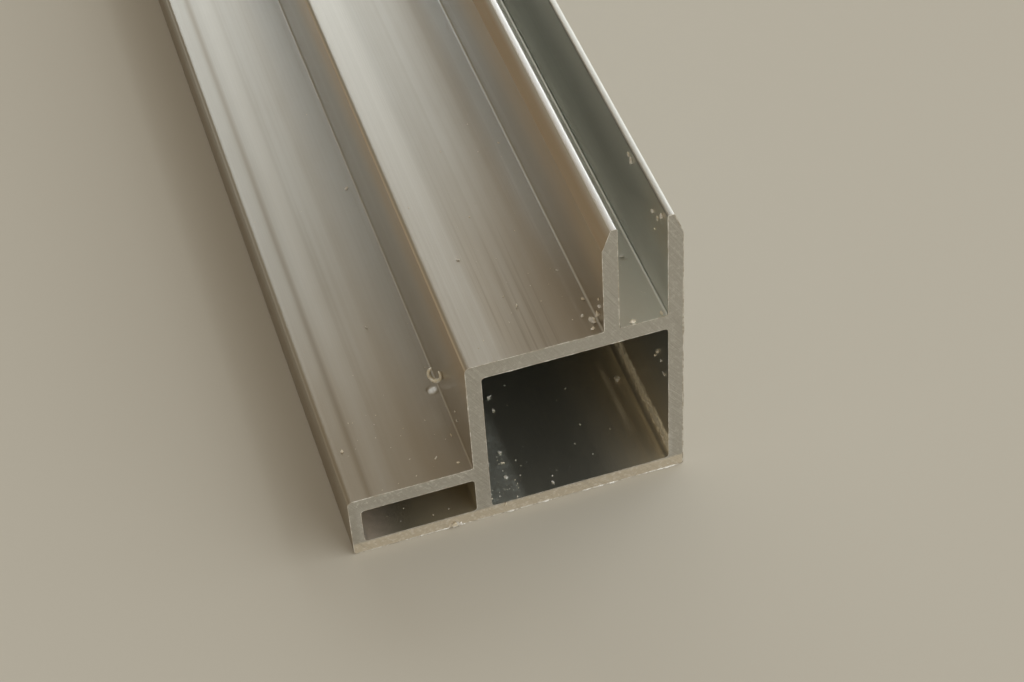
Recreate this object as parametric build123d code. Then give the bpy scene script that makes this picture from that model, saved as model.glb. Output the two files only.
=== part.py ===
from build123d import *
import os

# Aluminium extrusion profile, one straight length of raw stock.
#
# The section is a square box with a low hollow flange at its left foot and two upright fins on its top. The
# fins stand over the right half of the box and leave a slot between them for the edge of a panel. The stock
# is extruded in one piece and sawn square at both ends, so it is one solid with one section all along.
#
# Millimetres, +Z up. X runs across the stock, flange to the left, and Y runs along it. The origin is under
# the middle of the stock, on the plane that its underside lies on.

# Stock
LENGTH = 1000.0

# Square box, the right-hand part of the section
BOX_WIDTH = 17.0
BOX_HEIGHT = 17.0
BOX_LEFT_WALL = 1.2
BOX_RIGHT_WALL = 1.2
BOX_TOP_WALL = 1.4

# Base wall, in one plane under the box and the flange
BASE_WALL = 1.2

# Hollow flange, which reaches left from the foot of the box
FLANGE_REACH = 10.0
FLANGE_HEIGHT = 6.0
FLANGE_TOP_WALL = 1.3
FLANGE_END_WALL = 0.95

# Fins on the box, the outer one flush with the box's right side
FIN_HEIGHT = 10.0
FIN_THICKNESS = 1.2
SLOT_WIDTH = 3.8

# Fin tips, each sloped off on the side that faces away from the slot
TIP_FLAT = 0.5
TIP_SLOPE_HEIGHT = 1.9
TIP_RADIUS = 0.12

# Corners that the die leaves: outer shoulders, foot edges, inside corners of the outline and of the hollows
SHOULDER_RADIUS = 0.4
FOOT_RADIUS = 0.2
ROOT_RADIUS = 0.15
HOLLOW_RADIUS = 0.3

# The largest share of a wall's thickness, or of a hollow's side, that a rounded corner on it may take
RADIUS_SHARE = 0.45

# Places across the stock, with the whole width centred on X = 0
flange_left = -(FLANGE_REACH + BOX_WIDTH) / 2
box_left = flange_left + FLANGE_REACH
box_right = box_left + BOX_WIDTH
outer_fin_left = box_right - FIN_THICKNESS
inner_fin_right = outer_fin_left - SLOT_WIDTH
inner_fin_left = inner_fin_right - FIN_THICKNESS

# Heights
fin_top = BOX_HEIGHT + FIN_HEIGHT
slope_foot = fin_top - TIP_SLOPE_HEIGHT


def limited(radius, *spans):
    """The radius, or less where it would take too large a share of the shortest wall or side it rounds."""
    return min(radius, RADIUS_SHARE * min(spans))


def rounded_face(corners):
    """The face inside the straight runs between (x, z, radius) corners, with each corner rounded."""
    points = [(x, z) for x, z, radius in corners]
    radii = [radius for x, z, radius in corners]
    return make_face(FilletPolyline(points, radius=radii, close=True))


def outline():
    """The outside of the section, along the base from its left foot and back over the fins and the box."""
    left_foot = limited(FOOT_RADIUS, FLANGE_END_WALL, BASE_WALL)
    right_foot = limited(FOOT_RADIUS, BOX_RIGHT_WALL, BASE_WALL)
    tip = limited(TIP_RADIUS, TIP_FLAT)
    fin_root = limited(ROOT_RADIUS, FIN_THICKNESS, BOX_TOP_WALL)
    box_shoulder = limited(SHOULDER_RADIUS, BOX_LEFT_WALL, BOX_TOP_WALL)
    flange_root = limited(ROOT_RADIUS, BOX_LEFT_WALL, FLANGE_TOP_WALL)
    flange_shoulder = limited(SHOULDER_RADIUS, FLANGE_END_WALL, FLANGE_TOP_WALL)
    return rounded_face(
        [
            (flange_left, 0, left_foot),
            (box_right, 0, right_foot),
            (box_right, slope_foot, 0),
            (outer_fin_left + TIP_FLAT, fin_top, 0),
            (outer_fin_left, fin_top, tip),
            (outer_fin_left, BOX_HEIGHT, fin_root),
            (inner_fin_right, BOX_HEIGHT, fin_root),
            (inner_fin_right, fin_top, tip),
            (inner_fin_right - TIP_FLAT, fin_top, 0),
            (inner_fin_left, slope_foot, 0),
            (inner_fin_left, BOX_HEIGHT, fin_root),
            (box_left, BOX_HEIGHT, box_shoulder),
            (box_left, FLANGE_HEIGHT, flange_root),
            (flange_left, FLANGE_HEIGHT, flange_shoulder),
        ]
    )


def hollow(left, right, top):
    """A hollow of the section, from the base wall's upper side up to the underside of its own top wall."""
    radius = limited(HOLLOW_RADIUS, right - left, top - BASE_WALL)
    return rounded_face(
        [(left, BASE_WALL, radius), (right, BASE_WALL, radius), (right, top, radius), (left, top, radius)]
    )


def profile_section():
    """The metal of the section: its outline without the box's hollow and the flange's."""
    box_hollow = hollow(box_left + BOX_LEFT_WALL, box_right - BOX_RIGHT_WALL, BOX_HEIGHT - BOX_TOP_WALL)
    flange_hollow = hollow(flange_left + FLANGE_END_WALL, box_left, FLANGE_HEIGHT - FLANGE_TOP_WALL)
    return outline() - box_hollow - flange_hollow


def extrusion_profile():
    """The stock: the section drawn out along Y, half of the length each way from the origin."""
    return extrude(Plane.XZ * profile_section(), LENGTH / 2, both=True)


os.makedirs("parts", exist_ok=True)
export_step(extrusion_profile(), "parts/extrusion_profile.step")
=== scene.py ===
import math

import bpy
import numpy as np
from mathutils import Matrix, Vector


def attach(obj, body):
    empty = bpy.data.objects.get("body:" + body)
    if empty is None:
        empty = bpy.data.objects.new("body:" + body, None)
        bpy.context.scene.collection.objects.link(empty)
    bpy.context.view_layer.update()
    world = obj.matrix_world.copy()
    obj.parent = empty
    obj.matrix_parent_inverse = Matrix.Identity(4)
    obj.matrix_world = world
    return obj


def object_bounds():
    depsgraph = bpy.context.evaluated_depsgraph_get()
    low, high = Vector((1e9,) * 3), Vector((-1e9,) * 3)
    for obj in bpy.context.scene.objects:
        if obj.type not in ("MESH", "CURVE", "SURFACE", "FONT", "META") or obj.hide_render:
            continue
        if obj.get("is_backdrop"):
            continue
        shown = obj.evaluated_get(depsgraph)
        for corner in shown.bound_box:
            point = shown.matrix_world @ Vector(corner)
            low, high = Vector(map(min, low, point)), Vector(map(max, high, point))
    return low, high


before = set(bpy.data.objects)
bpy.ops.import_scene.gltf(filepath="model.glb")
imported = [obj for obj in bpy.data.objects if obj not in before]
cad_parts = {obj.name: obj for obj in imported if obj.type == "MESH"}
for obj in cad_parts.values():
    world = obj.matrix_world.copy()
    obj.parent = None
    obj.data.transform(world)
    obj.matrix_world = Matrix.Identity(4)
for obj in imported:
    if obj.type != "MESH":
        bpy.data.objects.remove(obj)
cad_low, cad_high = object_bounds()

# Camera
# A close-up of the near sawn end, from above and to the left and about 0.18 m away, with the stock running
# off through the top of the picture.
CAMERA_PLACE = (-0.030005, -0.613797, 0.139458)
CAMERA_LENS = 81.829
SENSOR_WIDTH = 36.0
CAMERA_TURN = -14.888
CAMERA_TILT = -45.735
CAMERA_ROLL = -4.101
CLIP_NEAR = 0.01
CLIP_FAR = 50.0


def posed(across, over, back, place):
    """The matrix of something whose own axes point across, over and back, put at a place."""
    matrix = Matrix.Identity(4)
    for row in range(3):
        matrix[row][:] = (across[row], over[row], back[row], place[row])
    return matrix


def camera_axes(turn, tilt, roll):
    """Right, up and forward of a camera that looks along +Y, is turned about Z, tilted up and then rolled."""
    turn, tilt, roll = np.radians([turn, tilt, roll])
    forward = np.array([-np.sin(turn) * np.cos(tilt), np.cos(turn) * np.cos(tilt), np.sin(tilt)])
    level = np.array([np.cos(turn), np.sin(turn), 0.0])
    upright = np.cross(level, forward)
    right = level * np.cos(roll) + upright * np.sin(roll)
    up = upright * np.cos(roll) - level * np.sin(roll)
    return right, up, forward


right, up, forward = camera_axes(CAMERA_TURN, CAMERA_TILT, CAMERA_ROLL)
lens = bpy.data.cameras.new("close_up")
lens.lens = CAMERA_LENS
lens.sensor_width = SENSOR_WIDTH
lens.clip_start = CLIP_NEAR
lens.clip_end = CLIP_FAR
camera = bpy.data.objects.new("close_up", lens)
camera.matrix_world = posed(right, up, -forward, CAMERA_PLACE)
bpy.context.scene.collection.objects.link(camera)
bpy.context.scene.camera = camera
bpy.context.scene.view_settings.view_transform = "Standard"


# Studio
# A plain pale floor under four large softboxes, in an even, dim and slightly warm surround. One lamp is low
# behind the stock, two are at its right, and a weak one is high at its front left.
FLOOR_HALF = 40.0
FLOOR_DROP = 0.00002
FLOOR_COLOUR = (0.655, 0.615, 0.545, 1.0)
LIT_PLACE = (0.0, -0.47, 0.01)
SOFTBOX_AWAY = 12.0
LAMP_COLOUR = (0.93, 0.99, 1.0)
SURROUND = (0.26, 0.215, 0.15, 1.0)


class Socket:
    """The output of a shader node. A sum with numbers or other sockets adds Math nodes to its tree."""

    def __init__(self, tree, output):
        self.tree = tree
        self.output = output

    @classmethod
    def add(cls, tree, kind, settings, inputs, output=0):
        """Adds one node, with its settings first and then the values or links of its sockets."""
        node = tree.nodes.new(kind)
        for name, value in settings.items():
            setattr(node, name, value)
        for name, value in inputs.items():
            if isinstance(value, Socket):
                tree.links.new(value.output, node.inputs[name])
            else:
                node.inputs[name].default_value = value
        if not node.outputs:
            return None
        return cls(tree, node.outputs[output])

    def math(self, operation, *values):
        return Socket.add(self.tree, "ShaderNodeMath", {"operation": operation}, dict(enumerate(values)))

    def __add__(self, other):
        return self.math("ADD", self, other)

    def __radd__(self, other):
        return self.math("ADD", other, self)

    def __sub__(self, other):
        return self.math("SUBTRACT", self, other)

    def __rsub__(self, other):
        return self.math("SUBTRACT", other, self)

    def __mul__(self, other):
        return self.math("MULTIPLY", self, other)

    def __rmul__(self, other):
        return self.math("MULTIPLY", other, self)

    def __abs__(self):
        return self.math("ABSOLUTE", self)

    def __pow__(self, exponent):
        return self.math("POWER", self, exponent)

    def most(self, other):
        return self.math("MAXIMUM", self, other)

    def least(self, other):
        return self.math("MINIMUM", self, other)

    def step(self, start, end):
        """0 at start, 1 at end and a smooth step between. Start may be the larger of the two."""
        rising = start < end
        ends = {"From Min": min(start, end), "From Max": max(start, end)}
        sides = {"To Min": 0.0 if rising else 1.0, "To Max": 1.0 if rising else 0.0}
        settings = {"interpolation_type": "SMOOTHSTEP"}
        return Socket.add(self.tree, "ShaderNodeMapRange", settings, {"Value": self, **ends, **sides})

    def band(self, middle, half_width):
        """1 at the middle, falling to 0 at half a width to either side."""
        return abs(self - middle).step(half_width, 0.0)

    def within(self, low, high, soft):
        """1 between low and high and 0 outside, with edges twice as wide as soft."""
        return self.step(low - soft, low + soft) * self.step(high + soft, high - soft)

    def between(self, low, high):
        """Low where this is 0 and high where it is 1, in proportion between and beyond."""
        return low + (high - low) * self

    def scaled(self, *factors):
        """This vector with each part times a factor of its own."""
        return Socket.add(self.tree, "ShaderNodeVectorMath", {"operation": "MULTIPLY"}, {0: self, 1: factors})

    def noise(self, detail, roughness):
        """Noise from 0 to 1 over this vector, about one lump to a unit."""
        inputs = {"Vector": self, "Scale": 1.0, "Detail": detail, "Roughness": roughness}
        return Socket.add(self.tree, "ShaderNodeTexNoise", {"noise_dimensions": "3D"}, inputs)

    def tone(self, first, second):
        """The first colour where this share is 0 and the second where it is 1."""
        inputs = {0: self, 6: first, 7: second}
        return Socket.add(self.tree, "ShaderNodeMix", {"data_type": "RGBA"}, inputs, 2)

    def turned(self, first, second):
        """The first direction where this share is 0 and the second where it is 1."""
        inputs = {0: self, 4: first, 5: second}
        return Socket.add(self.tree, "ShaderNodeMix", {"data_type": "VECTOR"}, inputs, 1)


def empty_tree(owner):
    """The node tree of a material or world, emptied."""
    owner.use_nodes = True
    owner.node_tree.nodes.clear()
    return owner.node_tree


def softbox(name, azimuth, elevation, width, height, radiance):
    """A large rectangular lamp that faces the lit place. Its azimuth runs from +Y towards +X."""
    azimuth, elevation = np.radians([azimuth, elevation])
    level = np.cos(elevation)
    away = np.array([np.sin(azimuth) * level, np.cos(azimuth) * level, np.sin(elevation)])
    across = np.array([np.cos(azimuth), -np.sin(azimuth), 0.0])
    light = bpy.data.lights.new(name, "AREA")
    light.shape = "RECTANGLE"
    light.size = width
    light.size_y = height
    light.energy = radiance * math.pi * width * height
    light.color = LAMP_COLOUR
    lamp = bpy.data.objects.new(name, light)
    lamp.matrix_world = posed(across, np.cross(away, across), away, np.array(LIT_PLACE) + away * SOFTBOX_AWAY)
    lamp.visible_camera = False
    bpy.context.scene.collection.objects.link(lamp)


softbox("softbox_behind", azimuth=15.0, elevation=28.0, width=12.3, height=3.45, radiance=1.75)
softbox("softbox_right", azimuth=75.0, elevation=36.0, width=11.4, height=6.9, radiance=1.9)
softbox("softbox_front_right", azimuth=135.0, elevation=36.0, width=11.4, height=6.9, radiance=1.9)
softbox("softbox_front_left", azimuth=240.0, elevation=58.0, width=11.4, height=11.4, radiance=0.35)

floor_mesh = bpy.data.meshes.new("studio_floor")
floor_sides = np.array([(-1, -1), (1, -1), (1, 1), (-1, 1)]) * FLOOR_HALF
floor_mesh.from_pydata([(side[0], side[1], -FLOOR_DROP) for side in floor_sides], [], [(0, 1, 2, 3)])
floor = bpy.data.objects.new("studio_floor", floor_mesh)
bpy.context.scene.collection.objects.link(floor)
floor_paint = bpy.data.materials.new("pale_floor")
tree = empty_tree(floor_paint)
matt = Socket.add(tree, "ShaderNodeBsdfDiffuse", {}, {"Color": FLOOR_COLOUR})
Socket.add(tree, "ShaderNodeOutputMaterial", {}, {"Surface": matt})
floor_mesh.materials.append(floor_paint)
floor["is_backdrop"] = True

world = bpy.data.worlds.new("studio_surround")
tree = empty_tree(world)
glow = Socket.add(tree, "ShaderNodeBackground", {}, {"Color": SURROUND})
Socket.add(tree, "ShaderNodeOutputWorld", {}, {"Surface": glow})
bpy.context.scene.world = world


# Extrusion profile
# The stock itself, aluminium as it comes from the press: satin, with fine lines drawn all along it, and matt
# and scored where the saw cut it off. The CAD node keeps its shape and gets this finish.
MILLIMETRE = 0.001

# Places in the section and the half length, in millimetres, as the CAD model has them
HALF_LENGTH = 500.0
FLANGE_LEFT = -13.5
BOX_LEFT = -3.5
BOX_RIGHT = 13.5
FLANGE_TOP = 6.0
BOX_TOP = 17.0
FIN_TOP = 27.0
SLOPE_FOOT = 25.1
INNER_FIN_LEFT = 7.3
INNER_FIN_RIGHT = 8.5
OUTER_FIN_LEFT = 12.3
INNER_TIP = 8.25
OUTER_TIP = 12.55
HOLLOW_FLOOR = 1.2
WALL = 1.2
ROOT_RADIUS = 0.15

# How deep in the metal the masks of faces, hollows and cut reach, and how softly they end
FACE_SKIN = 0.1
FACE_SOFT = 0.05
HOLLOW_SKIN = 0.3
HOLLOW_SOFT = 0.08
CUT_SKIN = 0.02
ROOT_SPAN = (1.35 * ROOT_RADIUS, 0.95 * ROOT_RADIUS)

# Places across the stock: bands of painted light on the box's top and the flange's top, and the streaks that
# the die drew
BOX_LIT_BAND = (BOX_LEFT + 0.3, BOX_LEFT + 2.9)
FLANGE_LIT_BAND = (FLANGE_LEFT + 2.6, FLANGE_LEFT + 3.9)
DIE_STREAK = FLANGE_LEFT + 1.8
WIDE_STREAK = BOX_LEFT + 5.1
NARROW_STREAK = BOX_LEFT + 6.3
FINE_STREAKS = (BOX_LEFT + 3.4, BOX_LEFT + 7.6)
BROWN_PATCH = 3.4

# A painted reflection along the floor and a painted highlight on the right wall of the box's hollow, and a
# whitish patch on the flange's top
FLOOR_REFLECTION_ACROSS = 10.45
WALL_HIGHLIGHT_UP = 2.6
PATCH_ACROSS = -4.1
PATCH_FROM_END = 9.0

# The saw blade's middle, its arcs to a millimetre, and how fast they change along themselves
BLADE_ACROSS = 105.0
BLADE_UP = 80.0
ARCS = 3.4
ARC_CHANGE = 0.09

# Roughness of the drawn and the sawn metal, and the least that renders without stray dots
SATIN = 0.325
SAWN = 0.48
SHINIEST = 0.285

# Heights of the relief in metres, and its slopes in metres a millimetre
HAIRLINE_HEIGHT = 4e-6
LINE_HEIGHT = 8e-6
GRAIN_HEIGHT = 1.6e-6
TOOTH_HEIGHT = 6e-5
PIT_HEIGHT = 1.6e-5
TIP_CROWN = -5e-4
PATCH_SLOPE_ACROSS = 0.10e-3
PATCH_SLOPE_ALONG = 0.08e-3

# Where the shading turns to, on the roots of the walls and on the wall with the painted highlight
UP = (0.0, 0.0, 1.0)
TO_MOUTH = (0.0, -0.97, 0.24)

# Colours of the drawn metal, of the light, shade and reflections painted on it, of its hollows and dust, and
# of its sawn ends
DULL_METAL = (0.55, 0.535, 0.50, 1.0)
CLEAN_METAL = (0.635, 0.63, 0.605, 1.0)
LIT_BAND_METAL = (0.74, 0.73, 0.70, 1.0)
NEAR_END_SHADE_METAL = (0.595, 0.54, 0.465, 1.0)
BROWN_STREAK = (0.30, 0.25, 0.19, 1.0)
WARM_REFLECTION_METAL = (0.72, 0.58, 0.42, 1.0)
SLOPE_REFLECTION_METAL = (0.47, 0.365, 0.255, 1.0)
BROWN_SHADE_METAL = (0.33, 0.26, 0.165, 1.0)
ROOT_SHADE_METAL = (0.22, 0.19, 0.15, 1.0)
ROOT_HIGHLIGHT_METAL = (0.97, 0.96, 0.93, 1.0)
FIN_ROOT_METAL = (0.78, 0.83, 0.88, 1.0)
SLOT_FOOT_METAL = (0.425, 0.435, 0.395, 1.0)
SLOT_DEEP_METAL = (0.33, 0.345, 0.30, 1.0)
SLOT_EDGE_METAL = (1.0, 0.99, 0.93, 1.0)
SLOT_FLOOR_METAL = (0.785, 0.79, 0.75, 1.0)
BLUE_SHEEN_METAL = (0.80, 0.86, 0.92, 1.0)
HOLLOW_METAL = (0.70, 0.70, 0.645, 1.0)
FLANGE_HOLLOW_METAL = (0.64, 0.62, 0.52, 1.0)
DUST_AND_LIGHT_METAL = (0.76, 0.80, 0.77, 1.0)
FLANGE_LIGHT_METAL = (0.93, 0.83, 0.74, 1.0)
WARM_LIGHT_METAL = (0.84, 0.66, 0.40, 1.0)
HIGHLIGHT_METAL = (1.0, 0.90, 0.70, 1.0)
TIP_METAL = (0.97, 0.97, 0.98, 1.0)
OUTER_TIP_METAL = (0.68, 0.67, 0.64, 1.0)
CUT_METAL = (0.535, 0.515, 0.47, 1.0)
CUT_RIDGE = (0.80, 0.79, 0.74, 1.0)
CUT_PIT = (0.38, 0.365, 0.33, 1.0)
EXIT_METAL = (0.76, 0.69, 0.57, 1.0)
EXIT_RIDGE = (0.98, 0.90, 0.80, 1.0)


class Stock:
    """Places on the stock in a material's tree, in millimetres from Object coordinates."""

    def __init__(self, tree):
        metres = Socket.add(tree, "ShaderNodeTexCoord", {}, {}, "Object")
        self.place = metres.scaled(1.0 / MILLIMETRE, 1.0 / MILLIMETRE, 1.0 / MILLIMETRE)
        self.x = Socket.add(tree, "ShaderNodeSeparateXYZ", {}, {"Vector": self.place}, "X")
        self.y = Socket.add(tree, "ShaderNodeSeparateXYZ", {}, {"Vector": self.place}, "Y")
        self.z = Socket.add(tree, "ShaderNodeSeparateXYZ", {}, {"Vector": self.place}, "Z")
        self.from_end = HALF_LENGTH - abs(self.y)

    def lumps(self, across, along, detail=2.0):
        """Noise from 0 to 1 in lumps of this size across the stock and along it."""
        return self.place.scaled(1.0 / across, 1.0 / along, 1.0 / across).noise(detail, roughness=0.6)

    def inside(self, left, right, foot, top):
        """1 inside a box across the section, all along the stock, and 0 a little outside it."""
        return self.x.within(left, right, HOLLOW_SOFT) * self.z.within(foot, top, HOLLOW_SOFT)

    def where(self, across=None, up=None, from_end=None):
        """The product of smooth steps, one for each pair given: where it starts and where it is full, across
        the stock, up from the floor and from the nearer sawn end."""
        pairs = ((self.x, across), (self.z, up), (self.from_end, from_end))
        first, *others = [place.step(*pair) for place, pair in pairs if pair]
        return math.prod(others, start=first)

    def root(self, wall, foot):
        """1 on the small round between a flat face and the wall that stands at its right."""
        outer, inner = ROOT_SPAN
        reach = (self.x - wall) ** 2.0 + (self.z - foot) ** 2.0
        return reach.step(outer ** 2, inner ** 2)


metal = bpy.data.materials.new("mill_aluminium")
tree = empty_tree(metal)
stock = Stock(tree)
x, z, from_end = stock.x, stock.z, stock.from_end

# Noise, from long lines to specks
hairline = stock.lumps(across=0.09, along=60.0)
line = stock.lumps(across=0.35, along=180.0)
broad = stock.lumps(across=1.8, along=500.0)
fine_line = stock.lumps(across=0.24, along=22.0)
coarse_line = stock.lumps(across=0.8, along=30.0)
cloud = stock.lumps(across=3.5, along=14.0, detail=3.0)
smear = stock.lumps(across=0.8, along=9.0)
grain = stock.lumps(across=0.16, along=0.20)
speckle = stock.lumps(across=0.45, along=0.45)
mottle = stock.lumps(across=0.3, along=0.3).step(0.50, 0.72)

# The faces that show, the hollows and the cut
flange_top = z.band(FLANGE_TOP, 2 * FACE_SKIN)
box_top = z.band(BOX_TOP, 2 * FACE_SKIN) * x.step(INNER_FIN_LEFT + FACE_SKIN, INNER_FIN_LEFT - FACE_SKIN)
flange_side = x.band(FLANGE_LEFT, 3 * FACE_SKIN)
box_side = x.band(BOX_LEFT, 2 * FACE_SKIN) * z.step(FLANGE_TOP, FLANGE_TOP + 3 * FACE_SKIN)
fin_side = x.band(INNER_FIN_LEFT, 2 * FACE_SKIN) * z.within(BOX_TOP + ROOT_RADIUS, SLOPE_FOOT, FACE_SOFT)
slope = x.within(INNER_FIN_LEFT - 2 * FACE_SKIN, INNER_TIP - 2 * FACE_SKIN, FACE_SOFT)
slope = slope * z.within(SLOPE_FOOT, FIN_TOP - FACE_SKIN, FACE_SOFT)
tip = z.step(FIN_TOP - 2 * FACE_SKIN, FIN_TOP - FACE_SOFT)
slot = stock.inside(
    INNER_FIN_RIGHT - FACE_SKIN, OUTER_FIN_LEFT + FACE_SKIN, BOX_TOP - 2 * FACE_SKIN, FIN_TOP - 2 * FACE_SKIN
)
margin = WALL - HOLLOW_SKIN
box_hollow = stock.inside(BOX_LEFT + margin, BOX_RIGHT - margin, margin, BOX_TOP - margin)
flange_hollow = stock.inside(
    FLANGE_LEFT + 2 * HOLLOW_SKIN, BOX_LEFT + 2 * FACE_SKIN, margin, FLANGE_TOP - margin
)
hollow = box_hollow.most(flange_hollow)
cut = from_end.step(CUT_SKIN, CUT_SKIN / 4)
flange_root = stock.root(BOX_LEFT, FLANGE_TOP)
fin_root = stock.root(INNER_FIN_LEFT, BOX_TOP)
slot_root = stock.root(OUTER_FIN_LEFT, BOX_TOP)

# On the flat faces: streaks that the die drew, bands of painted light, a pale bluish painted reflection
# beside the walls, and a duller, browner end, painted shade and warm reflection
tint = (0.34 * line + 0.33 * broad + 0.33 * cloud).step(0.33, 0.67)
# Painted shade and warm reflection: duller and browner towards the near end
near_end_shade = stock.where(from_end=(32.0, 2.0)) * smear.between(0.4, 0.9)
# Painted reflection: a pale bluish sheen on the box's top beside the fin, away from the end, and on the
# flange's top beside the box
beside_fin = 0.75 * box_top * stock.where(across=(4.8, 6.8), from_end=(0.0, 18.0))
beside_box = 0.42 * flange_top * stock.where(across=(-7.5, -4.5), from_end=(-8.0, 14.0))
# Painted light: lighter bands, streaked along the stock, on the left of the box's top and of the flange's
# top, where more light falls
box_lit_band = box_top * x.within(*BOX_LIT_BAND, soft=0.5) * line.between(0.35, 1.05)
flange_lit_band = 0.4 * flange_top * x.within(*FLANGE_LIT_BAND, soft=0.4)
die_streak = flange_top * x.band(DIE_STREAK, half_width=0.45) * coarse_line.between(0.30, 0.65)
near_streaks = 0.5 * x.band(WIDE_STREAK, half_width=0.30) + 0.3 * x.band(NARROW_STREAK, half_width=0.25)
near_streaks = near_streaks + fine_line.step(0.50, 0.30) * x.within(*FINE_STREAKS, soft=0.6)
near_streaks = near_streaks * stock.where(from_end=(26.0, 1.0)) * smear.between(0.08, 0.43)
brown_patch = 0.18 * x.band(BROWN_PATCH, half_width=3.4) * stock.where(from_end=(24.0, 5.0))
brown_streaks = die_streak + (near_streaks + brown_patch) * box_top

# Painted reflection and shade on the walls and the flange: warm high on the walls and on the slope, a painted
# sheen high on the fin near the end, and brown shade low on the walls, on the flange's side and on the
# flange's top near the end
warm = box_side * stock.where(up=(11.0, 16.5)) + fin_side * stock.where(up=(19.0, SLOPE_FOOT))
warm = warm * smear.between(0.495, 0.99)
# Painted reflection: the slope up to the fin's tip browner below its top edge
slope_reflection = slope * stock.where(up=(FIN_TOP, FIN_TOP - 0.9)) * smear.between(0.75, 1.15)
# Painted shade and brown reflection: darker and browner low on the walls near the end
foot_shade = box_side * stock.where(up=(13.0, 9.0)) + fin_side * stock.where(up=(23.0, 19.0))
foot_shade = 0.26 * foot_shade * stock.where(from_end=(36.0, 14.0))
# Painted sheen: lighter and warmer high on the fin's side near the end
fin_shine = 0.3 * fin_side * stock.where(up=(20.0, 24.0), from_end=(9.0, 1.0))
# Painted shade and brown reflection on the flange's side, low near the end and all along it, and on the
# flange's top near the end
low_shade = flange_side * stock.where(up=(6.0, 2.5), from_end=(-3.0, 7.0)) * smear.between(0.45, 0.95)
top_shade = 0.26 * flange_top * stock.where(from_end=(18.0, 2.0))
side_shade = 0.30 * stock.where(from_end=(50.0, 20.0)) + 0.25 * stock.where(from_end=(18.0, 5.0))
side_shade = side_shade * flange_side

# The slot: its walls painted darker at their foot and deep inside and lighter near the top and near the end,
# painted shade and painted light; its floor painted pale, painted light; and the bright fin tips, in part a
# painted highlight
slot_foot = stock.where(from_end=(10.0, 24.0)).tone(SLOT_FOOT_METAL, SLOT_DEEP_METAL)
slot_near = stock.where(from_end=(10.0, 2.5)) * stock.where(up=(19.0, 24.0)).between(0.38, 0.64)
slot_wall = stock.where(up=(21.5, FIN_TOP + 0.4)).most(slot_near).tone(slot_foot, SLOT_EDGE_METAL)
slot_metal = stock.where(up=(BOX_TOP + 0.3, BOX_TOP + 0.1)).tone(slot_wall, SLOT_FLOOR_METAL)
# The inner fin's tip near white and the outer one a little lighter than the plain metal: partly polish,
# partly a painted highlight
tip_metal = stock.where(across=(11.0, 10.0)).tone(OUTER_TIP_METAL, TIP_METAL)

# Dust and painted light in the hollows and the slot, a painted highlight and a painted reflection in the
# box's hollow, and the whitish patch on the flange's top
# Dust and painted light: a pale bluish speckled strip on the hollow's floor by its left wall near the mouth
dust_and_light_strip = box_hollow * stock.where(across=(0.8, 0.0), up=(3.0, 1.5), from_end=(11.0, 7.0))
dust_and_light_strip = dust_and_light_strip * speckle.step(0.40, 0.75).between(0.30, 0.75)
# Painted light: a paler, speckled left part of the flange's hollow
flange_light = flange_hollow * stock.where(across=(-8.5, -12.2)) * speckle.between(0.4, 1.2)
# Painted warm reflection and light: brown, less metallic patches low in the right of the box's hollow near
# the end, in the right of the flange's hollow, and high in the slot near the end
warm_light = box_hollow * stock.where(across=(5.0, 11.0), up=(14.0, 3.0), from_end=(26.0, 6.0))
warm_light = warm_light * smear.between(0.27, 0.67) + 0.35 * flange_hollow * stock.where(across=(-11.0, -6.0))
slot_light = slot * stock.where(up=(21.0, 24.0), from_end=(7.0, 0.0)) * speckle.between(0.1, 1.0)
warm_light = warm_light + 0.5 * slot_light
pale_light_and_dust = dust_and_light_strip + flange_light
# Painted highlight: a warm, speckled band low on the right wall of the box's hollow; painted reflection: a
# line along its floor
wall_highlight = box_hollow * z.band(WALL_HIGHLIGHT_UP, half_width=1.6)
wall_highlight = wall_highlight * stock.where(across=(12.0, 12.2), from_end=(21.0, 12.0))
wall_highlight = (wall_highlight * speckle.step(0.38, 0.68).between(0.40, 1.50)).least(1.0)
floor_reflection = box_hollow * x.band(FLOOR_REFLECTION_ACROSS, half_width=0.4) * stock.where(up=(1.6, 1.3))
floor_reflection = floor_reflection * from_end.within(4.5, 11.0, soft=1.5) * speckle.between(0.16, 0.64)
hollow_highlights = wall_highlight.most(floor_reflection)
# A whitish patch on the flange's top near the near end
whitish_patch = ((x - PATCH_ACROSS) ** 2.0 + (from_end - PATCH_FROM_END) ** 2.0).step(0.32, 0.03)
whitish_patch = whitish_patch * flange_top * stock.y.step(1.0, -1.0)

# The sawn ends: fine arcs about the blade's middle, mottled and pitted, and torn brighter along the base,
# where the teeth came out
saw_radius = ((x - BLADE_ACROSS) ** 2.0 + (z - BLADE_UP) ** 2.0) ** 0.5
arc = {"X": saw_radius * ARCS, "Y": 0.0, "Z": (x - z) * ARC_CHANGE}
tooth_line = Socket.add(tree, "ShaderNodeCombineXYZ", {}, arc).noise(detail=3.0, roughness=0.7)
exit_wall = stock.where(up=(1.25, 0.95))
flange_rim = stock.where(across=(-3.3, -3.7), up=(4.9, 5.8))
ridges = 0.4 * tooth_line.step(0.52, 0.75) + mottle * flange_rim.between(0.3, 0.7) + 0.12 * flange_rim
pits = 0.35 * tooth_line.step(0.46, 0.25) + 0.4 * grain.step(0.42, 0.2)
sawn = exit_wall.tone(CUT_METAL, EXIT_METAL)
sawn = (exit_wall * mottle.between(0.15, 1.0)).tone(sawn, EXIT_RIDGE)
sawn = ridges.tone(sawn, CUT_RIDGE)
sawn = pits.tone(sawn, CUT_PIT)

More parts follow.
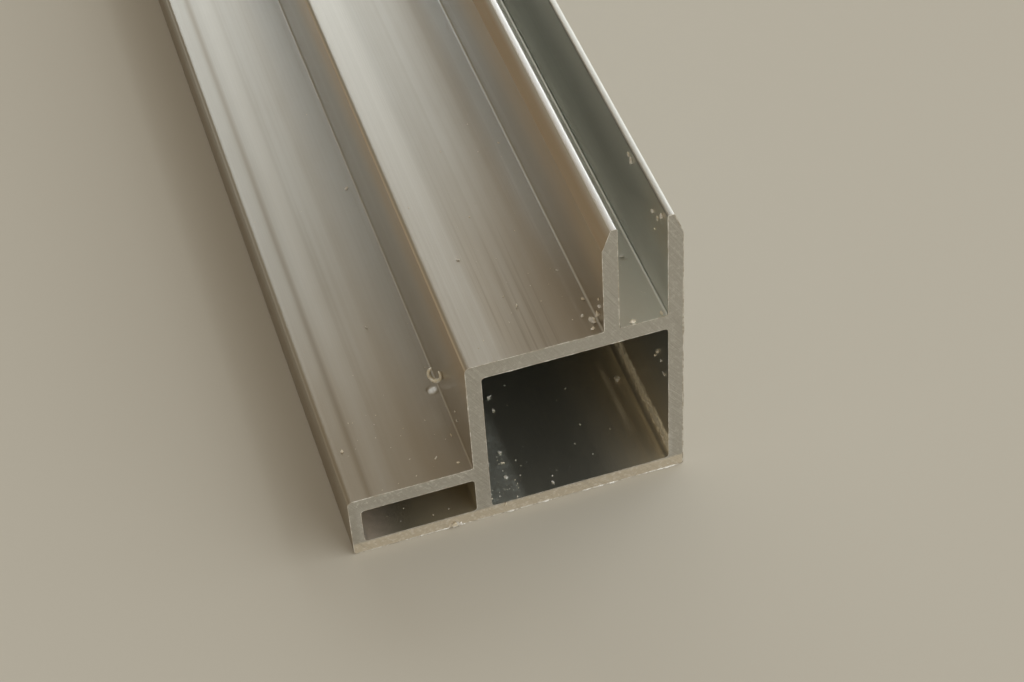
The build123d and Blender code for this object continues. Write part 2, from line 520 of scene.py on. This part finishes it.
# Every coat over the plain metal, from the lowest up: how much of it shows where, and its colour. Many coats
# are painted light, painted shade and painted reflections.
coats = (
    (near_end_shade, NEAR_END_SHADE_METAL),
    (beside_fin + beside_box, BLUE_SHEEN_METAL),
    (box_lit_band + flange_lit_band, LIT_BAND_METAL),
    (brown_streaks, BROWN_STREAK),
    (warm, WARM_REFLECTION_METAL),
    (slope_reflection, SLOPE_REFLECTION_METAL),
    (foot_shade, BROWN_SHADE_METAL),
    (fin_shine, HIGHLIGHT_METAL),
    (low_shade, BROWN_SHADE_METAL),
    (top_shade, BROWN_SHADE_METAL),
    (side_shade, BROWN_SHADE_METAL),
    # Painted shade: the flange's root a little darker
    (0.08 * flange_root, ROOT_SHADE_METAL),
    # Painted highlight: a pale bluish line on the fin's root
    (0.25 * fin_root, FIN_ROOT_METAL),
    (slot, slot_metal),
    # Painted light: the box's hollow is lighter than the metal outside it
    (box_hollow, HOLLOW_METAL),
    (flange_hollow, FLANGE_HOLLOW_METAL),
    (tip, tip_metal),
    (dust_and_light_strip, DUST_AND_LIGHT_METAL),
    (flange_light, FLANGE_LIGHT_METAL),
    (warm_light, WARM_LIGHT_METAL),
    (hollow_highlights, HIGHLIGHT_METAL),
    (0.5 * whitish_patch, TIP_METAL),
    # Painted highlight: a pale line on the slot's root
    (0.4 * slot_root, ROOT_HIGHLIGHT_METAL),
    (cut, sawn),
)
base = tint.tone(DULL_METAL, CLEAN_METAL)
for share, colour in coats:
    base = share.tone(base, colour)

side = 1.0 - cut
metallic = 1.0 - 0.45 * cut - 0.07 * hollow - 0.30 * pale_light_and_dust - 0.40 * warm_light - 0.7 * hollow_highlights
rough = (SATIN + 0.10 * (line - 0.5) + 0.10 * (cloud - 0.5) + 0.04 * (grain - 0.5)).most(SHINIEST)
rough = rough * side + (SAWN + 0.2 * (speckle - 0.5)) * cut

# The relief: drawn lines and rounded tips on the sides, tooth marks and pits on the cut. At the root of a
# wall the shading turns up towards the light, as the small round there does.
crown = ((x - INNER_TIP) ** 2.0).least((x - OUTER_TIP) ** 2.0) * tip * TIP_CROWN
dent = whitish_patch * (PATCH_SLOPE_ACROSS * (x - PATCH_ACROSS) - PATCH_SLOPE_ALONG * (from_end - PATCH_FROM_END))
drawn = (hairline - 0.5) * HAIRLINE_HEIGHT + (line - 0.5) * LINE_HEIGHT + (grain - 0.5) * GRAIN_HEIGHT
scored = (tooth_line - 0.5) * TOOTH_HEIGHT + (grain - 0.5) * PIT_HEIGHT
relief = (drawn + crown + dent) * side + scored * cut
facing = Socket.add(tree, "ShaderNodeBump", {}, {"Height": relief, "Distance": 1.0})
facing = ((0.33 * flange_root + 0.42 * fin_root + 0.45 * slot_root) * side).turned(facing, UP)
facing = (0.8 * wall_highlight * side).turned(facing, TO_MOUTH)
finish = {"Base Color": base, "Metallic": metallic, "Roughness": rough, "Normal": facing}
shader = Socket.add(tree, "ShaderNodeBsdfPrincipled", {}, finish)
Socket.add(tree, "ShaderNodeOutputMaterial", {}, {"Surface": shader})

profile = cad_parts["extrusion_profile"]
for seat in profile.material_slots:
    seat.material = metal


# Burr of the saw cuts
# The thin torn lip that the saw leaves round both ends, along the outline and in the hollows' mouths. It is
# the stock's own metal, so fine that it shows as a broken bright line, and longest where the teeth came out.

# How near to the end's plane a corner counts as on it, in millimetres
SAME_PLANE = 0.001

# The lip, in millimetres: its points' spacing, how it grips the edge, and how far it stands off sideways and
# off the cut, along the outline, in the hollows' mouths and along the foot of the base
BURR_STEP = 0.09
BURR_LAP = 0.10
BURR_ROOT = 0.09
BURR_SUNK = 0.015
BURR_OUT = 0.075
MOUTH_BURR_OUT = 0.012
BURR_LEAST = 0.004
BURR_PROUD = 0.08
MOUTH_BURR_PROUD = 0.035
EXIT_PROUD = 0.14
EXIT_HEIGHT = 0.35
EXIT_FACING = -0.3
ABOVE_FLOOR = 0.01

# How unevenly it is torn: the reach of its slow and its quick waves in points, and the least share that each
# leaves of the lip
SLOW_WAVE = 20.0
QUICK_WAVE = 2.5
SLOW_LEAST = 0.15
QUICK_LEAST = 0.2
BURR_SEED = 27

# Torn metal: the size of its dull and bright lumps, and of the facets that it breaks the light with
TORN_LUMP = 0.6
TORN_FACET = 0.11
TORN_FACET_HEIGHT = 2e-5
TORN_ROUGHNESS = 0.40
BURR_DULL = (0.62, 0.57, 0.49, 1.0)
BURR_BRIGHT = (0.95, 0.93, 0.88, 1.0)


def outlines(node, end):
    """The closed outlines of a node's flat end, as (x, z) points in millimetres: the edges that only one of
    the end's triangles has, followed from corner to corner."""
    mesh = node.data
    spots = np.empty(len(mesh.vertices) * 3)
    mesh.vertices.foreach_get("co", spots)
    spots = spots.reshape(-1, 3) / MILLIMETRE
    mesh.calc_loop_triangles()
    corners = np.empty(len(mesh.loop_triangles) * 3, int)
    mesh.loop_triangles.foreach_get("vertices", corners)
    corners = corners.reshape(-1, 3)
    corners = corners[np.all(np.abs(spots[corners][:, :, 1] - end) < SAME_PLANE, axis=1)]
    flat, number = np.unique(spots[:, [0, 2]].round(4), axis=0, return_inverse=True)
    corners = number.reshape(-1)[corners]
    start = corners.ravel()
    stop = np.roll(corners, -1, axis=1).ravel()
    single = ~np.isin(start * len(flat) + stop, stop * len(flat) + start)
    follows = dict(zip(start[single].tolist(), stop[single].tolist()))
    found = []
    while follows:
        corner = next(iter(follows))
        line = []
        while corner in follows:
            line.append(corner)
            corner = follows.pop(corner)
        found.append(flat[line])
    return found


def even_points(line, step):
    """A closed line's points, spaced evenly along it."""
    closed = np.vstack([line, line[:1]])
    run = np.concatenate([[0.0], np.cumsum(np.hypot(*np.diff(closed, axis=0).T))])
    places = np.linspace(0.0, run[-1], int(run[-1] / step), endpoint=False)
    return np.stack([np.interp(places, run, closed[:, 0]), np.interp(places, run, closed[:, 1])], axis=1)


def ragged(random, count, reach):
    """Noise round a closed line: white noise without its waves shorter than the reach, about 0.5, with two
    standard deviations to either side scaled and clipped to 0 and 1."""
    waves = np.fft.rfft(random.random(count) - 0.5)
    waves[0] = 0.0
    soft = np.fft.irfft(waves * np.exp(-((np.arange(len(waves)) * reach / count) ** 2)), count)
    return np.clip(0.5 + soft / (4.0 * soft.std()), 0.0, 1.0)


def burr_rings(line, end, reach, stand, random):
    """A three-sided lip carried along a closed line at a sawn end. One corner lies on the wall behind the cut
    and one on the cut face, both a little sunk, and the third stands off the edge by a ragged amount."""
    facing = np.sign(end)
    spots = even_points(line, BURR_STEP)
    along = np.roll(spots, -1, axis=0) - np.roll(spots, 1, axis=0)
    along /= np.linalg.norm(along, axis=1)[:, None]
    outward = np.stack([along[:, 1], -along[:, 0]], axis=1) * -facing
    count = len(spots)
    slow = SLOW_LEAST + (1.0 - SLOW_LEAST) * ragged(random, count, SLOW_WAVE) ** 2
    quick = QUICK_LEAST + (1.0 - QUICK_LEAST) * ragged(random, count, QUICK_WAVE)
    torn = slow * quick
    below = np.clip(1.0 - spots[:, 1] / EXIT_HEIGHT, 0.0, 1.0) * (outward[:, 1] < EXIT_FACING)
    out = reach * torn * (1.0 - below)
    proud = stand * torn * (1.0 - below) + EXIT_PROUD * torn * below
    rings = np.empty((count, 3, 3))
    rings[:, 0, [0, 2]] = spots - outward * BURR_SUNK
    rings[:, 1, [0, 2]] = spots + outward * out[:, None]
    rings[:, 2, [0, 2]] = spots - outward * BURR_ROOT
    rings[:, 0, 1] = end - facing * BURR_LAP
    rings[:, 1, 1] = end + facing * (proud + BURR_LEAST)
    rings[:, 2, 1] = end - facing * BURR_SUNK
    rings[:, :, 2] = np.maximum(rings[:, :, 2], ABOVE_FLOOR)
    return rings


def ring_faces(count, sides, outside_first):
    """The four-cornered faces between rings of points that close round the line and round each ring."""
    number = np.arange(count * sides).reshape(count, sides)
    ahead = np.roll(number, -1, axis=0)
    faces = np.stack([number, ahead, np.roll(ahead, -1, axis=1), np.roll(number, -1, axis=1)], axis=2)
    faces = faces.reshape(-1, 4)
    return faces if outside_first else faces[:, ::-1]


def add_piece(name, points, faces, material, smooth):
    """A piece of the object from points in millimetres, riding on the stock."""
    mesh = bpy.data.meshes.new(name)
    mesh.from_pydata((points * MILLIMETRE).tolist(), [], faces)
    mesh.polygons.foreach_set("use_smooth", [smooth] * len(mesh.polygons))
    mesh.materials.append(material)
    mesh.update()
    piece = bpy.data.objects.new(name, mesh)
    bpy.context.scene.collection.objects.link(piece)
    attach(piece, "root")


def torn_metal(name, dull, bright, metallic):
    """Freshly torn aluminium, in facets, between a dull and a bright colour."""
    made = bpy.data.materials.new(name)
    tree = empty_tree(made)
    stock = Stock(tree)
    lump = stock.lumps(TORN_LUMP, TORN_LUMP)
    facets = stock.lumps(TORN_FACET, TORN_FACET) * TORN_FACET_HEIGHT
    facing = Socket.add(tree, "ShaderNodeBump", {}, {"Height": facets, "Distance": 1.0})
    tone = lump.step(0.38, 0.60).tone(dull, bright)
    rough = TORN_ROUGHNESS + 0.22 * (lump - 0.5)
    finish = {"Base Color": tone, "Metallic": metallic, "Roughness": rough, "Normal": facing}
    shader = Socket.add(tree, "ShaderNodeBsdfPrincipled", {}, finish)
    Socket.add(tree, "ShaderNodeOutputMaterial", {}, {"Surface": shader})
    return made


burr_metal = torn_metal("burr_aluminium", BURR_DULL, BURR_BRIGHT, metallic=0.5)
random = np.random.default_rng(BURR_SEED)
for name, end in (("saw_burr_near", -HALF_LENGTH), ("saw_burr_far", HALF_LENGTH)):
    points = []
    faces = []
    for line in outlines(profile, end):
        outer = line[:, 0].max() > BOX_RIGHT - WALL / 2
        reach, stand = (BURR_OUT, BURR_PROUD) if outer else (MOUTH_BURR_OUT, MOUTH_BURR_PROUD)
        rings = burr_rings(line, end, reach, stand, random)
        first = sum(len(part) for part in points)
        faces += (ring_faces(len(rings), 3, end < 0) + first).tolist()
        points.append(rings.reshape(-1, 3))
    add_piece(name, np.vstack(points), faces, burr_metal, smooth=False)


# Saw chips
# Specks of sawn metal that the cut threw on to the stock and that cling to it: those that the photograph
# shows, and finer ones strewn near both ends, more of them the nearer the cut.
LEFT = (-1.0, 0.0, 0.0)
FRONT = (0.0, -1.0, 0.0)

# Chips that show: the way their surface faces, their place across the stock, from the end and up, and their
# size
SEEN_CHIPS = (
    (UP, -4.1, 3.9, FLANGE_TOP, 0.34),
    (UP, -5.9, 2.0, FLANGE_TOP, 0.43),
    (UP, -4.4, 1.0, FLANGE_TOP, 0.27),
    (UP, -12.5, 5.2, FLANGE_TOP, 0.35),
    (UP, -7.2, 17.5, FLANGE_TOP, 0.30),
    (UP, -4.35, 34.3, FLANGE_TOP, 0.50),
    (UP, 6.85, 1.35, BOX_TOP, 0.76),
    (UP, 6.6, 0.6, BOX_TOP, 0.41),
    (UP, 6.3, 2.1, BOX_TOP, 0.38),
    (UP, 6.95, 3.8, BOX_TOP, 0.36),
    (UP, 2.1, 4.85, BOX_TOP, 0.43),
    (UP, 6.1, 7.4, BOX_TOP, 0.30),
    (UP, -0.6, 11.2, BOX_TOP, 0.38),
    (UP, 6.4, 23.0, BOX_TOP, 0.32),
    (UP, 9.65, 0.25, BOX_TOP, 0.57),
    (UP, 11.9, 0.3, BOX_TOP, 0.49),
    (UP, 11.2, 7.1, BOX_TOP, 0.50),
    (UP, 0.9, 11.0, HOLLOW_FLOOR, 0.49),
    (UP, 0.8, 9.5, HOLLOW_FLOOR, 0.41),
    (UP, -0.1, 5.0, HOLLOW_FLOOR, 0.41),
    (UP, -0.2, 3.9, HOLLOW_FLOOR, 0.35),
    (UP, -0.4, 2.4, HOLLOW_FLOOR, 0.41),
    (UP, 2.9, 0.6, HOLLOW_FLOOR, 0.38),
    (UP, 11.3, 9.2, HOLLOW_FLOOR, 0.68),
    (LEFT, BOX_LEFT, 4.2, 8.2, 0.32),
    (LEFT, BOX_LEFT, 3.8, 7.6, 0.35),
    (LEFT, INNER_FIN_LEFT, 1.05, 18.0, 0.62),
    (LEFT, INNER_FIN_LEFT, 0.8, 19.0, 0.49),
    (LEFT, INNER_FIN_LEFT, 0.95, 19.6, 0.35),
    (LEFT, OUTER_FIN_LEFT, 1.1, 26.1, 0.59),
    (LEFT, OUTER_FIN_LEFT, 2.1, 25.0, 0.54),
    (LEFT, OUTER_FIN_LEFT, 3.0, 24.9, 0.46),
    (LEFT, OUTER_FIN_LEFT, 2.6, 23.5, 0.35),
    (LEFT, OUTER_FIN_LEFT, 7.4, 26.1, 0.68),
    (LEFT, OUTER_FIN_LEFT, 8.2, 26.1, 0.46),
    (LEFT, OUTER_FIN_LEFT, 2.1, 11.2, 0.68),
    (LEFT, OUTER_FIN_LEFT, 2.8, 10.0, 0.32),
    (LEFT, OUTER_FIN_LEFT, 1.5, 10.7, 0.32),
    (LEFT, OUTER_FIN_LEFT, 0.8, 9.9, 0.51),
    (LEFT, OUTER_FIN_LEFT, 1.1, 2.3, 0.49),
    (LEFT, OUTER_FIN_LEFT, 4.5, 2.9, 0.32),
    (LEFT, OUTER_FIN_LEFT, 7.3, 1.7, 0.32),
    (FRONT, -5.35, 0.0, 0.32, 0.70),
    (FRONT, -4.95, 0.0, 0.26, 0.46),
    (FRONT, -5.75, 0.0, 0.24, 0.41),
    (FRONT, -1.2, 0.0, 1.0, 0.32),
)

# Chips strewn on a level surface: its left and right edge and its height, how far from the end they reach on
# average, and how many there are
STREWN_CHIPS = (
    (FLANGE_LEFT + 0.6, BOX_LEFT - 0.4, FLANGE_TOP, 10.0, 34),
    (BOX_LEFT + 0.6, INNER_FIN_LEFT - 0.4, BOX_TOP, 10.0, 34),
    (INNER_FIN_RIGHT + 0.3, OUTER_FIN_LEFT - 0.3, BOX_TOP, 10.0, 16),
    (BOX_LEFT + WALL + 0.2, BOX_LEFT + WALL + 2.6, HOLLOW_FLOOR, 4.0, 46),
    (BOX_LEFT + WALL + 2.6, OUTER_FIN_LEFT - 0.4, HOLLOW_FLOOR, 8.0, 30),
    (FLANGE_LEFT + 1.4, BOX_LEFT - 0.4, HOLLOW_FLOOR, 3.0, 20),
)
STREWN_NEAREST = 0.2
STREWN_SIZES = (0.05, 0.16)

# A chip's facets, the ranges of how far its points stand out and of its width, flatness and bend as shares of
# its length, and how much of its thickness it is lifted by
CHIP_SIDES = 7
CHIP_RINGS = 3
CHIP_DENTS = (0.65, 1.2)
CHIP_WIDTH = (0.35, 0.8)
CHIP_FLATNESS = (0.25, 0.5)
CHIP_BEND = (-0.1, 0.6)
CHIP_LIFT = 0.4
CHIP_SEED = 17
CHIP_DULL = (0.96, 0.87, 0.71, 1.0)
CHIP_BRIGHT = (0.99, 0.97, 0.94, 1.0)


def chips(random, places, normals, sizes):
    """Bent scraps: a ball of a few facets, dented at each point, drawn out long and flat, curved along its
    length, turned at random about the surface's normal and laid on the surface."""
    turn = np.arange(CHIP_SIDES) * 2.0 * np.pi / CHIP_SIDES
    drop = (np.arange(CHIP_RINGS) + 1.0) * np.pi / (CHIP_RINGS + 1)
    around, down = np.meshgrid(turn, drop)
    ring = np.stack([np.sin(down) * np.cos(around), np.sin(down) * np.sin(around), np.cos(down)], axis=2)
    ball = np.vstack([[UP], ring.reshape(-1, 3), [(0.0, 0.0, -1.0)]])
    count = len(places)
    shape = ball * random.uniform(*CHIP_DENTS, (count, len(ball), 1))
    flatness = random.uniform(*CHIP_FLATNESS, count)
    bend = random.uniform(*CHIP_BEND, count)
    shape[:, :, 1] *= random.uniform(*CHIP_WIDTH, count)[:, None]
    shape[:, :, 2] = shape[:, :, 2] * flatness[:, None] + shape[:, :, 0] ** 2 * bend[:, None]
    shape *= sizes[:, None, None] / 2.0
    first = np.roll(normals, 1, axis=1)
    second = np.cross(normals, first)
    angle = random.uniform(0.0, 2.0 * np.pi, count)[:, None]
    long = first * np.cos(angle) + second * np.sin(angle)
    wide = second * np.cos(angle) - first * np.sin(angle)
    axes = np.stack([long, wide, normals], axis=1)
    lift = normals * (sizes * flatness * CHIP_LIFT)[:, None]
    points = np.einsum("cpa,cad->cpd", shape, axes) + (places + lift)[:, None, :]
    number = 1 + np.arange(CHIP_RINGS * CHIP_SIDES).reshape(CHIP_RINGS, CHIP_SIDES)
    beside = np.roll(number, -1, axis=1)
    last = np.full(CHIP_SIDES, len(ball) - 1)
    sides = np.stack([number[:-1], number[1:], beside[1:], beside[:-1]], axis=2).reshape(-1, 4)
    caps = np.vstack([
        np.stack([np.zeros(CHIP_SIDES, int), number[0], beside[0]], axis=1),
        np.stack([last, beside[-1], number[-1]], axis=1),
    ])
    starts = (np.arange(count) * len(ball))[:, None, None]
    faces = (sides + starts).reshape(-1, 4).tolist() + (caps + starts).reshape(-1, 3).tolist()
    return points.reshape(-1, 3), faces


chip_metal = torn_metal("chip_aluminium", CHIP_DULL, CHIP_BRIGHT, metallic=0.3)
random = np.random.default_rng(CHIP_SEED)
for name, end in (("saw_chips_near", -1.0), ("saw_chips_far", 1.0)):
    seen = SEEN_CHIPS if end < 0 else ()
    places = [(across, end * (HALF_LENGTH - along), height) for normal, across, along, height, size in seen]
    normals = [normal for normal, across, along, height, size in seen]
    sizes = [size for normal, across, along, height, size in seen]
    for left, right_side, height, reach, count in STREWN_CHIPS:
        across = random.uniform(left, right_side, count)
        along = random.exponential(reach, count) + STREWN_NEAREST
        places += list(zip(across, end * (HALF_LENGTH - along), [height] * count))
        normals += [UP] * count
        sizes += list(random.uniform(*STREWN_SIZES, count))
    points, faces = chips(random, np.array(places), np.array(normals), np.array(sizes))
    add_piece(name, points, faces, chip_metal, smooth=False)


# Swarf curl
# A shaving of bright metal that the saw rolled into an open ring. It hangs on the box's left wall, a few
# millimetres above the flange.
CURL_CENTRE = (-4.0, -HALF_LENGTH + 8.06, 8.68)
CURL_RADIUS = 0.56
CURL_OPENING = 66.0
CURL_WIDTH = 0.42
CURL_THICKNESS = 0.33
CURL_AXIS = (-0.62, -0.745, 0.25)
CURL_RINGS = 48
CURL_SIDES = 10

# How its radius grows from end to end, how far it drifts along its axis as a share of its width, and how it
# thins: the power that keeps its middle full, and the share of the section left at its ends
CURL_TIGHTEST = 0.95
CURL_GROWTH = 0.1
CURL_DRIFT = 0.6
CURL_FULLNESS = 4
CURL_TIP = 0.02
CURL_DULL = (0.97, 0.90, 0.74, 1.0)
CURL_BRIGHT = (0.99, 0.97, 0.90, 1.0)


def curl(centre, radius, opening, width, thickness, axis):
    """An oval section carried round most of a circle, which opens at the top, drifts a little along its axis
    and thins to a point at both ends."""
    axis = np.array(axis) / np.linalg.norm(axis)
    level = np.cross(UP, axis)
    level /= np.linalg.norm(level)
    rise = np.cross(axis, level)
    run = np.linspace(0.0, 1.0, CURL_RINGS)
    angle = np.radians(90.0 + opening / 2.0 + run * (360.0 - opening))
    spoke = level * np.cos(angle)[:, None] + rise * np.sin(angle)[:, None]
    taper = np.sqrt(np.clip(1.0 - (2.0 * run - 1.0) ** CURL_FULLNESS, CURL_TIP ** 2, 1.0))
    drift = axis * ((run - 0.5) * CURL_DRIFT * width)[:, None]
    line = np.array(centre) + spoke * (radius * (CURL_TIGHTEST + CURL_GROWTH * run))[:, None] + drift
    around = np.arange(CURL_SIDES) * 2.0 * np.pi / CURL_SIDES
    over = spoke[:, None, :] * (np.cos(around)[None, :, None] * thickness / 2.0)
    along = axis * (np.sin(around)[None, :, None] * width / 2.0)
    points = line[:, None, :] + (over + along) * taper[:, None, None]
    number = np.arange(CURL_RINGS * CURL_SIDES).reshape(CURL_RINGS, CURL_SIDES)
    beside = np.roll(number, -1, axis=1)
    faces = np.stack([number[:-1], beside[:-1], beside[1:], number[1:]], axis=2).reshape(-1, 4).tolist()
    faces.append(number[0][::-1].tolist())
    faces.append(number[-1].tolist())
    return points.reshape(-1, 3), faces


curl_metal = torn_metal("swarf_aluminium", CURL_DULL, CURL_BRIGHT, metallic=0.9)
points, faces = curl(CURL_CENTRE, CURL_RADIUS, CURL_OPENING, CURL_WIDTH, CURL_THICKNESS, CURL_AXIS)
add_piece("swarf_curl", points, faces, curl_metal, smooth=True)


# Size
# The CAD model's box and the box of everything that shows.
low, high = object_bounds()
sizes = {"cad": [list(cad_low), list(cad_high)], "visual": [list(low), list(high)]}
